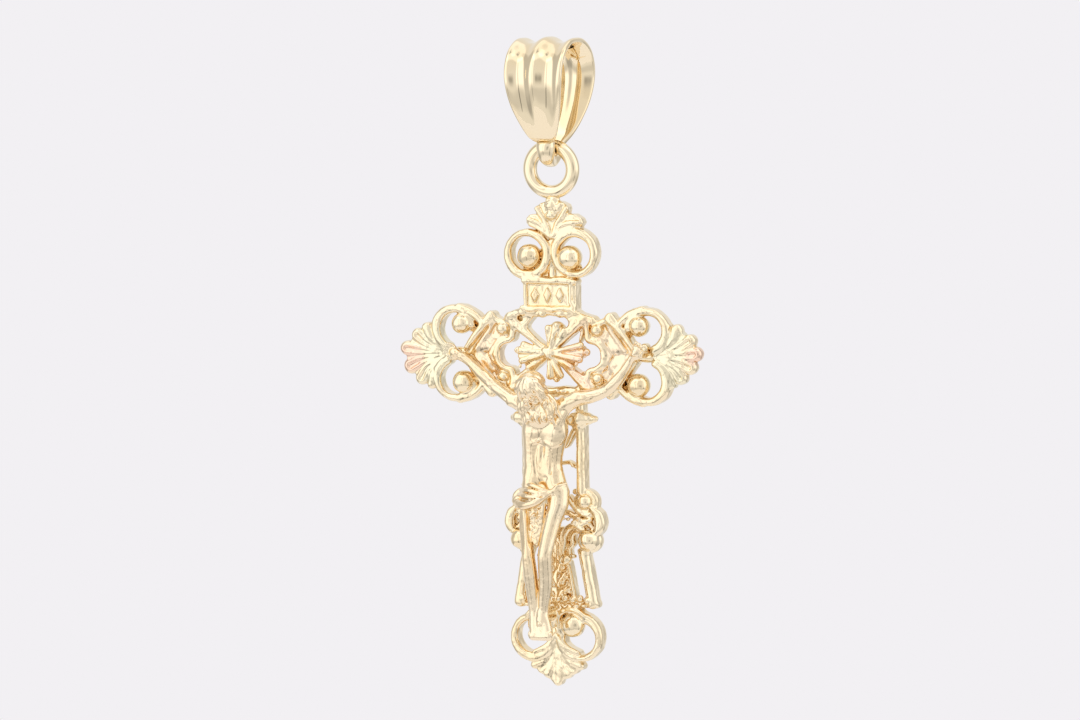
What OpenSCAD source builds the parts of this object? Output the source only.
// Crucifix pendant: a fluted bail, and a pierced cross with its soldered ring and a cast figure.
// Millimetres. The origin is the inside top of the bail, where a chain lies.
// +Z is up, -Y is the front, and the pendant hangs straight down.

/* [Bail] */
// Width of the band at its widest
bail_w = 4; // [3.6:0.1:4.6]
// Depth of the teardrop loop from front to back, outside
bail_d = 5.5; // [5:0.1:6.2]
// From the chain's seat down to the middle of the ring's wire
bail_drop = 6.3; // [5.8:0.1:7.2]
// Thickness of the band
bail_wall = 0.42; // [0.34:0.02:0.5]
// Height of the middle rib and the two edges above the flutes between them
rib_h = 0.3; // [0.18:0.02:0.36]
// Width of the band where it wraps the ring
nub_w = 0.96; // [0.8:0.04:1]
// Thickness of the nub under the ring
nub_t = 0.66; // [0.6:0.02:0.8]

/* [Ring] */
// Radius of the ring, to the middle of its wire
ring_r = 1.48; // [1.46:0.02:1.7]
// Diameter of the ring's wire
wire_d = 0.9; // [0.8:0.02:0.92]
// Radius of the neck that joins the ring to the cross
neck_r = 0.56; // [0.5:0.02:0.6]
// Running gap between the wire and the bail's eye
eye_gap = 0.09; // [0.07:0.01:0.12]

/* [Cross] */
// From the middle of the crossing to a side leaf's tip
arm_len = 10.55; // [10:0.1:11.5]
// From the middle of the crossing down to the bottom leaf's tip
shaft_len = 21.7; // [21:0.1:23]
// Half the height of the open crossing
crossing_h = 2.2; // [2.1:0.05:2.4]
// Half the width of the open crossing
crossing_w = 2.75; // [2.5:0.05:3]
// How far the arms' middle hangs below the middle of the crossing
arm_drop = 0.15; // [0.05:0.05:0.25]
// Thickness of the wires from front to back
cross_t = 1.24; // [1.1:0.02:1.4]
// Width of the scrolling wires
lace_w = 0.58; // [0.5:0.02:0.66]

/* [Finials] */
// Outer radius of the loops at the arms' ends and at the bottom
loop_r = 1.5; // [1.4:0.02:1.6]
// Outer radius of the loops at the top
head_loop_r = 1.66; // [1.56:0.02:1.76]
// Radius of the large beads
bead_r = 0.68; // [0.58:0.02:0.74]
// Radius of the small beads
seed_r = 0.42; // [0.34:0.02:0.48]
// Length of a side leaf
side_leaf = 3.5; // [3.2:0.1:3.9]
// Length of the bottom leaf
foot_leaf = 2.5; // [2.2:0.1:2.9]
// Height of the top leaf, up to the ring
head_leaf = 1.92; // [1.7:0.02:2.2]

/* [Plaque] */
// Width of the plaque
plaque_w = 3.7; // [3.3:0.1:4.1]
// Height of the plaque
plaque_h = 1.85; // [1.6:0.05:2.1]
// Height of the shelf under the plaque
shelf_h = 0.6; // [0.5:0.05:0.75]

/* [Shaft] */
// From the middle of the shaft to the middle of an upper bar
bar_x = 1.74; // [1.6:0.02:1.9]
// Width of the upper and the lower bars
bar_w = 0.68; // [0.6:0.02:0.76]

/* [Figure] */
// Radius of the figure's chest from front to back
body_r = 0.62; // [0.54:0.02:0.7]
// Radius of the figure's head
head_r = 0.98; // [0.9:0.02:1.06]
// Gap between the figure and the seats that it is fixed to
seat_gap = 0.03; // [0.02:0.01:0.06]
// How far the hands' seats stand in front of the wires
seat_rise = 0.04; // [0.03:0.01:0.08]
// How far the feet's seat stands in front of the cross
foot_stand = 1.5; // [1.3:0.05:1.6]

/* [Hidden] */
$fn = 40;

// Levels, from the middle of the cross
front_y = -cross_t / 2;
base_y = front_y * 0.68;
web_y = front_y * 0.3;
back_web_y = cross_t * 0.36;
crest = 0.58; // a wire's crest is this share of its foot's width

// Heights, from the chain's seat
eye_z = -bail_drop;
ring_z = eye_z - ring_r;
ring_foot_z = ring_z - ring_r - wire_d / 2;
cross_z = ring_foot_z - head_leaf - 2 * head_loop_r - plaque_h - shelf_h - crossing_h;

// Places in the plane of the cross, from the middle of the crossing
shelf_top = crossing_h + shelf_h;
plaque_top = shelf_top + plaque_h;
head_loop_h = plaque_top + head_loop_r;
head_root_h = head_loop_h + head_loop_r * 0.5;
neck_h = ring_foot_z - cross_z;
arm_root = arm_len - side_leaf;
foot_root = -shaft_len + foot_leaf;
foot_loop_h = foot_root + loop_r * 0.68;
band_h = foot_loop_h + loop_r * 1.33;
loop_side = loop_r + 0.12;
arm_loop_back = loop_r * 0.18;
head_loop_back = head_root_h - head_loop_h;
foot_loop_back = foot_loop_h - foot_root;

// The eye of the bail wraps the wire, which curves away from it at the band's edges
wire_sag = ring_r - sqrt(ring_r * ring_r - nub_w * nub_w / 4);
eye_r = wire_d / 2 + wire_sag + eye_gap;
eye_wall = bail_wall * 1.15;
eye_mid = eye_r + eye_wall * 0.42;

// Small helpers

// A straight wire in the plane, with slightly knobbed ends
module wire(p, q, w) {
    d = q - p;
    translate(p) rotate(atan2(d[1], d[0])) translate([0, -w / 2]) square([norm(d), w]);
    for (e = [p, q]) translate(e) circle(d = w * 1.06);
}

// A chain of straight wires through the points
module run(points, w) {
    for (i = [0:len(points) - 2]) wire(points[i], points[i + 1], w);
}

// A closed loop of wire, whose outer radius is r at full width
module loop(at, r, w, share) {
    translate(at) difference() {
        circle(r = r - w * (1 - share) / 2);
        circle(r = r - w * (1 + share) / 2);
    }
}

// Both sides of the shaft, or both halves of an arm
module both(flip) {
    children();
    mirror(flip) children();
}

// Extrude a flat shape from one depth to another, standing in the plane of the cross
module slab(from_y, to_y) {
    translate([0, to_y, cross_z]) rotate([90, 0, 0]) linear_extrude(to_y - from_y) children();
}

// A pin along Y from one depth to another, at a place in the plane of the cross
module pin(at, r, from_y, to_y) {
    translate([at[0], to_y, cross_z + at[1]]) rotate([90, 0, 0]) cylinder(r = r, h = to_y - from_y);
}

// A bead that stands proud of the wires
module bead(at, r) {
    translate([at[0], front_y * 0.5, cross_z + at[1]]) rotate([90, 0, 0]) sphere(r = r);
}

// Leaves: one lobe is a kite with a round end, and its crest is narrower

module lobe(root, tip, w, share) {
    d = tip - root;
    l = norm(d);
    translate(root) rotate(atan2(d[1], d[0])) {
        polygon([[0, w * share * 0.2], [l * 0.6, w * share * 0.5], [l * 0.86, w * share * 0.48],
                 [l * 0.86, -w * share * 0.48], [l * 0.6, -w * share * 0.5], [0, -w * share * 0.2]]);
        translate([l - w * share * 0.52, 0]) circle(d = w * share * 1.05);
    }
}

// A fan of lobes from a root, pointing along +X; each row is
// [angle from the axis, length share of the leaf, width share of the leaf]
SIDE_FAN = [[0, 1, 0.34], [20, 0.94, 0.31], [42, 0.82, 0.28], [65, 0.72, 0.24]];
FOOT_FAN = [[0, 1, 0.46], [26, 0.93, 0.4], [54, 0.84, 0.34]];
HEAD_FAN = [[0, 0.84, 0.56], [40, 0.8, 0.42]];

module fan(rows, size, share) {
    for (r = rows, side = (r[0] == 0 ? [1] : [1, -1]))
        lobe([0, 0], size * r[1] * [cos(r[0]), side * sin(r[0])], size * r[2], share);
}

// The flat shapes of the lace, drawn at full width for the base and narrower for the crest

// One finial in its own axes: +X points outwards from the crossing, its root is the leaf's root
module finial(rows, leaf, loop_back, share, r = loop_r) {
    fan(rows, leaf, share);
    both([0, 1]) loop([-loop_back, loop_side], r, lace_w, share);
    wire([-loop_back - r * 0.9, 0], [leaf * 0.3, 0], lace_w * share);
}

// The bead of a finial's loop: off the loop's middle by these shares of its radius, back and aside
ARM_BEAD = [0.35, 0.07];
HEAD_BEAD = [0, -0.14];
FOOT_BEAD = [0.14, -0.3];
head_bead_r = bead_r * 1.14;
function finial_bead(loop_back, off) = [-loop_back, loop_side] + loop_r * [-off[0], off[1]];

// Right half of an arm: ribs that bound it, and the brace that looks into the open crossing
brace = [for (row = [[0.95, 0.84], [1.05, 0.46], [1.36, 0.33], [1.6, 0]])
    [row[0] * crossing_w, row[1] * crossing_h]];
rib_top = [crossing_w * 1.57, crossing_h * 1.07];
rib_foot = [arm_root - loop_r * 0.6, 0.35];
seed_at = [crossing_w * 1.2, crossing_h * 0.74];

module arm_half(share) {
    run(brace, lace_w * 0.75 * share);
    wire(rib_top, rib_foot, lace_w * share);
    run([[crossing_w * 1.05, crossing_h * 1.02], seed_at, rib_top], lace_w * 0.8 * share);
}

// Both halves of an arm, about its own middle
module arm_pair() {
    translate([0, -arm_drop]) both([0, 1]) children();
}

module arm_web() {
    arm_pair() polygon(concat(brace, [[rib_foot[0], 0], rib_foot, rib_top, seed_at]));
}

// The shelf over the crossing, and its plain twin under it
module shelf(share) {
    w = shelf_h * 0.92 * share;
    end = [crossing_w * 1.07, crossing_h];
    knee = [plaque_w * 0.46, shelf_top - shelf_h / 2];
    run([[-end[0], end[1]], [-knee[0], knee[1]], knee, end], w);
}

// The open lower shaft; each row is [x, height] as a share of the shaft's stages
cap_h = -crossing_h * 1.98;
bar_top = cap_h - 0.35;
bar_foot = -crossing_h * 4.06;
low_top = -crossing_h * 5.93;
low_foot = band_h;
low_x = [bar_x * 1.12, bar_x * 1.4];
cup_r = seed_r * 2.1;
cup_at = [bar_x * 1.16, bar_foot - loop_r * 0.5];
scroll_r = (cup_at[1] - low_top) * 0.255;
scroll_at = [bar_x * 1.3, cup_at[1] - cup_r - scroll_r + lace_w * 0.33];
curl_at = [bar_x * 0.82, scroll_at[1] - scroll_r * 1.54];
big_bead_at = [bar_x * 1.32, low_top + bead_r * 1.25];
eye_bead_at = [bar_x * 0.4, low_top - seed_r];

// The pointed leaf over an upper bar, in widths of the bar
CAP = [[-0.52, 0.5], [0.6, 0.55], [1.75, 0], [0.6, -0.62], [-0.52, -0.9]];

module shaft_half(share) {
    wire([bar_x, -crossing_h], [bar_x, cap_h], bar_w * 0.8 * share);
    translate([bar_x, cap_h]) polygon(CAP * bar_w * (0.6 + 0.4 * share));
    wire([bar_x, bar_top], [bar_x, bar_foot], bar_w * share);
    loop(cup_at, cup_r, lace_w * 0.8, share);
    loop(scroll_at, scroll_r, lace_w * 0.9, share);
    loop(curl_at, scroll_r * 1.13, lace_w * 0.8, share);
    wire([0, cup_at[1] - cup_r * 0.66], cup_at - [0, cup_r * 0.66], lace_w * share);
    wire([0, curl_at[1] + scroll_r * 0.82], [bar_x, curl_at[1] + scroll_r * 0.82], lace_w * 0.7 * share);
    wire([low_x[0], low_top + bead_r], [low_x[1], low_foot], bar_w * share);
    for (ray = [[0.2, 0.42], [0.34, 0.72]])
        wire([bar_x * ray[0], eye_bead_at[1]], [bar_x * ray[1], band_h], lace_w * 0.5 * share);
    wire([0, band_h], [low_x[1] + bar_w * 0.3, band_h], lace_w * share);
    wire([0, (bar_top + bar_foot) / 2], [bar_x, (bar_top + bar_foot) / 2 - 0.3], lace_w * 0.45 * share);
}

module lace(share) {
    both([1, 0]) {
        translate([arm_root, -arm_drop]) finial(SIDE_FAN, side_leaf, arm_loop_back, share);
        arm_pair() arm_half(share);
        shaft_half(share);
    }
    both([0, 1]) shelf(share);
    translate([0, head_root_h]) rotate(90)
        finial(HEAD_FAN, neck_h - head_root_h, head_loop_back, share, head_loop_r);
    translate([0, foot_root]) rotate(-90) finial(FOOT_FAN, foot_leaf, foot_loop_back, share);
    for (a = [38, 142, 218, 322])
        wire([0, 0], [crossing_w * 1.3 * cos(a), crossing_h * 1.5 * sin(a)], lace_w * 0.75 * share);
    wire([0, band_h], [0, foot_root], lace_w * share);
}

module lace_webs() {
    both([1, 0]) {
        arm_web();
        translate([arm_root, -arm_drop]) finial_web(finial_bead(arm_loop_back, ARM_BEAD));
    }
    translate([0, head_root_h]) rotate(90) finial_web(finial_bead(head_loop_back, HEAD_BEAD));
    translate([0, foot_root]) rotate(-90) finial_web(finial_bead(foot_loop_back, FOOT_BEAD));
}

// A thin web behind each bead, a little wider than it, closes the loop's side towards the crossing
module finial_web(b) {
    both([0, 1]) {
        translate(b) circle(r = bead_r * 1.08);
        wire(b, b + [-loop_r * 0.5, -loop_r * 0.25], bead_r);
    }
}

// Four trumpet petals round the middle of the crossing; each row is [angle, length share]
PETALS = [[90, 0.72], [0, 0.98], [180, 0.98], [270, 0.76]];

module rosette() {
    middle = [0, base_y, cross_z];
    for (p = PETALS) {
        l = crossing_w * 0.86 * p[1];
        translate(middle) rotate([0, 90 - p[0], 0]) cylinder(r1 = 0.14, r2 = lace_w * 0.95, h = l);
        translate(middle + l * [cos(p[0]), 0, sin(p[0])]) sphere(r = lace_w * 0.7);
    }
    translate(middle) sphere(r = lace_w * 0.72);
}

// Plaque: a bare field in a raised frame, with a row of small lozenges
module plaque() {
    field = [plaque_w, plaque_h + lace_w * 0.5];
    low = shelf_top - lace_w * 0.25;
    rim = lace_w * 0.4;
    slab(base_y, -front_y) translate([-field[0] / 2, low]) square(field);
    slab(front_y, web_y) translate([0, low]) difference() {
        translate([-field[0] / 2, 0]) square(field);
        translate([-field[0] / 2 + rim, rim]) square(field - 2 * [rim, rim]);
    }
    for (i = [-1:1])
        pin_lozenge([i * plaque_w * 0.25, low + field[1] / 2], plaque_h * 0.2);
}

module pin_lozenge(at, r) {
    translate([at[0], web_y, cross_z + at[1]]) rotate([90, 0, 0])
        cylinder(r = r, h = web_y - front_y, $fn = 4);
}

// The ring stands in the plane of the cross and is soldered to its top by a small round neck
module ring() {
    translate([0, 0, ring_foot_z - neck_r * 0.25]) sphere(r = neck_r);
    translate([0, 0, ring_z]) rotate([90, 0, 0]) rotate_extrude() translate([ring_r, 0]) circle(d = wire_d);
}

// Seats that the figure is fixed to: behind each hand, and a post behind the feet
hand_at = [[-0.62, -0.02], [0.618, 0.042]] * arm_len;
foot_at = [0, band_h - 0.85];
seat_y = front_y - seat_rise;

module seats() {
    for (h = hand_at) pin(h, lace_w * 0.55, seat_y, web_y);
    pin(foot_at, lace_w * 0.7, front_y - foot_stand, 0);
}

module cross() {
    color("gold") {
        slab(web_y, back_web_y) lace_webs();
        slab(base_y, -base_y) lace(1);
        slab(front_y, -front_y) lace(crest);
        plaque();
        rosette();
        ring();
        seats();
        for (side = [1, -1]) {
            for (v = [1, -1]) {
                b = finial_bead(arm_loop_back, ARM_BEAD);
                bead([side * (arm_root + b[0]), v * b[1] - arm_drop], bead_r);
                bead([side * seed_at[0], v * seed_at[1] - arm_drop], seed_r);
            }
            head = finial_bead(head_loop_back, HEAD_BEAD);
            bead([side * head[1], head_root_h + head[0]], head_bead_r);
            foot = finial_bead(foot_loop_back, FOOT_BEAD);
            bead([side * foot[1], foot_root - foot[0]], bead_r);
            bead([side * cup_at[0], cup_at[1]], seed_r * 1.2);
            bead([side * big_bead_at[0], big_bead_at[1]], bead_r);
            bead([side * eye_bead_at[0], eye_bead_at[1]], seed_r);
        }
    }
}

// The bail's band follows a teardrop path; each row of the front side is
// [drop share of the bail's drop, depth share of its half depth, width share, rib share]
BAIL_PATH = [
    [-0.030, 0.00, 1.00, 1.0],
    [-0.008, 0.38, 1.00, 1.0],
    [0.100, 0.76, 1.00, 1.0],
    [0.290, 0.915, 0.98, 1.0],
    [0.520, 0.84, 0.88, 0.75],
    [0.730, 0.68, 0.70, 0.25],
    [0.880, 0.51, 0.50, 0.0],
];

// Each path point is [y, z, half width, rib height, wall]
bail_front = concat(
    [for (r = BAIL_PATH)
        [-r[1] * bail_d / 2, -r[0] * bail_drop, r[2] * bail_w / 2, r[3] * rib_h, bail_wall]],
    [[-eye_mid * 1.02, eye_z, nub_w / 2, 0, eye_wall],
     [-eye_mid * 0.72, eye_z - eye_mid * 0.74, nub_w / 2, 0, eye_wall * 1.15],
     [0, eye_z - eye_r * 0.94 - nub_t / 2, nub_w / 2, 0, nub_t + eye_r * 0.12]]);
bail_loop = concat(bail_front,
    [for (i = [len(bail_front) - 2:-1:1]) let (p = bail_front[i]) [-p[0], p[1], p[2], p[3], p[4]]]);

// A smooth closed curve through the path points
path_steps = 2;
function wrap(list, i) = list[(i + len(list)) % len(list)];
function blend4(a, b, c, d, t) = 0.5 * (2 * b + (c - a) * t + (2 * a - 5 * b + 4 * c - d) * t * t
    + (3 * b - a - 3 * c + d) * t * t * t);
bail_stations = [for (i = [0:len(bail_loop) - 1], k = [0:path_steps - 1])
    blend4(wrap(bail_loop, i - 1), bail_loop[i], wrap(bail_loop, i + 1), wrap(bail_loop, i + 2),
           k / path_steps)];

// One section of the band: the outside from left to right, then the inside back
rib_cuts = 12;
function rib_at(u) = pow((1 + cos(360 * u)) / 2, 0.8);
function band_section(w, rib, wall) = concat(
    [for (i = [0:rib_cuts]) let (u = -1 + 2 * i / rib_cuts)
        [u * w, wall / 2 * sqrt(1 - 0.75 * pow(u, 8)) + rib * rib_at(u)]],
    [for (i = [rib_cuts:-1:0]) let (u = -1 + 2 * i / rib_cuts)
        [u * w, -wall / 2 * sqrt(1 - 0.75 * pow(u, 8)) + rib * rib_at(u) * 0.8]]);

function outward(i) = let (a = wrap(bail_stations, i - 1), b = wrap(bail_stations, i + 1),
    t = [b[0] - a[0], b[1] - a[1]] / norm([b[0] - a[0], b[1] - a[1]])) [t[1], -t[0]];

module bail_band() {
    n = len(bail_stations);
    m = 2 * (rib_cuts + 1);
    points = [for (i = [0:n - 1]) let (s = bail_stations[i], o = outward(i))
        each [for (c = band_section(s[2], s[3], s[4])) [c[0], s[0] + o[0] * c[1], s[1] + o[1] * c[1]]]];
    faces = [for (i = [0:n - 1], j = [0:m - 1]) let (a = i * m, b = ((i + 1) % n) * m, k = (j + 1) % m)
        each [[a + j, a + k, b + k], [a + j, b + k, b + j]]];
    polyhedron(points = points, faces = faces, convexity = 6);
}

module bail() {
    color("khaki") difference() {
        bail_band();
        translate([-bail_w, 0, eye_z]) rotate([0, 90, 0]) cylinder(r = eye_r, h = 2 * bail_w);
    }
}

// Figure: every joint of the body is a row of
// [across as a share of the arm, stand in front of the cross as a share of the feet's stand,
//  height as a share of the shaft, radius as a share of the chest's]
SHOULDERS = [[-0.158, 0.10, -0.148, 0.90], [0.160, 0.10, -0.142, 0.90]];
ELBOWS = [[-0.374, 0.04, -0.094, 0.68], [0.386, 0.04, -0.106, 0.68]];
WRISTS = [[-0.520, 0.02, -0.036, 0.50], [0.512, 0.02, -0.038, 0.50]];
RIBS = [[-0.100, 0.10, -0.235, 1.10], [0.064, 0.10, -0.235, 1.10]];
WAIST = [[-0.098, 0.12, -0.345, 1.00], [0.034, 0.12, -0.345, 1.00]];
HIPS = [[-0.108, 0.14, -0.415, 1.10], [0.060, 0.14, -0.415, 1.10]];
KNEES = [[-0.098, 1.02, -0.598, 0.66], [0.012, 1.02, -0.598, 0.76]];
CALVES = [[-0.086, 1.00, -0.652, 0.66], [0.014, 1.02, -0.652, 0.72]];
ANKLES = [[-0.068, 1.12, -0.790, 0.52], [-0.004, 1.20, -0.790, 0.52]];
TOES = [[-0.066, 1.45, -0.842, 0.62], [0.030, 1.50, -0.842, 0.62]];
KNOT = [-0.186, 0.20, -0.440, 0.90];
CLOTH_END = [-0.070, 0.75, -0.550, 0.40];

back_y = seat_y - seat_gap;
hand_r = body_r * 0.5;

function joint(row) = let (r = row[3] * body_r)
    [row[0] * arm_len, back_y - r - row[1] * foot_stand, cross_z + row[2] * shaft_len];

module knob(row, grow = 1) {
    translate(joint(row)) sphere(r = row[3] * body_r * grow, $fn = 12);
}

module limb(rows, grow = 1) {
    for (i = [0:len(rows) - 2]) hull() {
        knob(rows[i], grow);
        knob(rows[i + 1], grow);
    }
}

module arm_and_leg(side) {
    hand = hand_at[side];
    limb([SHOULDERS[side], ELBOWS[side], WRISTS[side]]);
    hull() {
        knob(WRISTS[side], 0.85);
        translate([hand[0], back_y - hand_r, cross_z + hand[1]]) sphere(r = hand_r, $fn = 12);
    }
    for (finger = [-1:1]) hull() for (reach = [0, 1])
        translate([hand[0] + sign(hand[0]) * reach * hand_r * 2, back_y - hand_r * 1.1,
                   cross_z + hand[1] + finger * reach * hand_r * 0.8])
            sphere(r = hand_r * (0.7 - 0.25 * reach), $fn = 8);
    limb([HIPS[side], KNEES[side], CALVES[side], ANKLES[side], TOES[side]]);
}

module trunk() {
    for (pair = [[SHOULDERS, RIBS], [RIBS, WAIST], [WAIST, HIPS]])
        hull() for (rows = pair, row = rows) knob(row, 0.94);
}

// Loincloth: rolled folds round the hips from the knot, a lap over the thighs and a hanging end
module loincloth() {
    for (fold = [0:2]) limb([KNOT, HIPS[0] + [0.05, 0.14, 0.006 - 0.010 * fold, -0.25],
        HIPS[1] + [0.03, 0.10, 0.030 - 0.016 * fold, -0.3]], 1);
    hull() {
        knob(HIPS[0], 1.12);
        knob(HIPS[1], 1.12);
        knob(HIPS[0] + [0, 0.12, -0.045, -0.1]);
        knob(HIPS[1] + [0, 0.12, -0.045, -0.1]);
    }
    limb([KNOT, HIPS[0] + [0.02, 0.3, -0.06, -0.55], CLOTH_END]);
}

// Head: bowed forwards and to one side, with long hair and a short beard
head_at = [-0.060 * arm_len, back_y - head_r * 1.5, cross_z - 0.108 * shaft_len];

module head() {
    hull() {
        knob(SHOULDERS[0] + [0.13, 0.05, 0, -0.25]);
        translate(head_at) sphere(r = head_r * 0.5, $fn = 12);
    }
    translate(head_at) rotate([34, -8, -8]) {
        scale([0.84, 0.98, 1.08]) sphere(r = head_r, $fn = 16);
        hull() {
            translate([0, -0.36, -0.5] * head_r) sphere(r = head_r * 0.52, $fn = 12);
            translate([0, -0.5, -1.12] * head_r) sphere(r = head_r * 0.26, $fn = 10);
        }
        hull() {
            translate([0, -0.88, -0.02] * head_r) sphere(r = head_r * 0.1, $fn = 8);
            translate([0, -1.06, -0.38] * head_r) sphere(r = head_r * 0.12, $fn = 8);
        }
        for (side = [-1, 1]) {
            hull() {
                translate([side * 0.3, -0.5, 0.7] * head_r) sphere(r = head_r * 0.5, $fn = 12);
                translate([side * 0.66, 0.1, -0.2] * head_r) sphere(r = head_r * 0.42, $fn = 12);
            }
            hull() {
                translate([side * 0.66, 0.1, -0.2] * head_r) sphere(r = head_r * 0.42, $fn = 12);
                translate([side * 0.7, 0.12, -1.1] * head_r) sphere(r = head_r * 0.3, $fn = 10);
            }
        }
    }
}

module corpus() {
    color("palegoldenrod") {
        trunk();
        for (side = [0, 1]) arm_and_leg(side);
        loincloth();
        head();
    }
}

bail();
cross();
corpus();
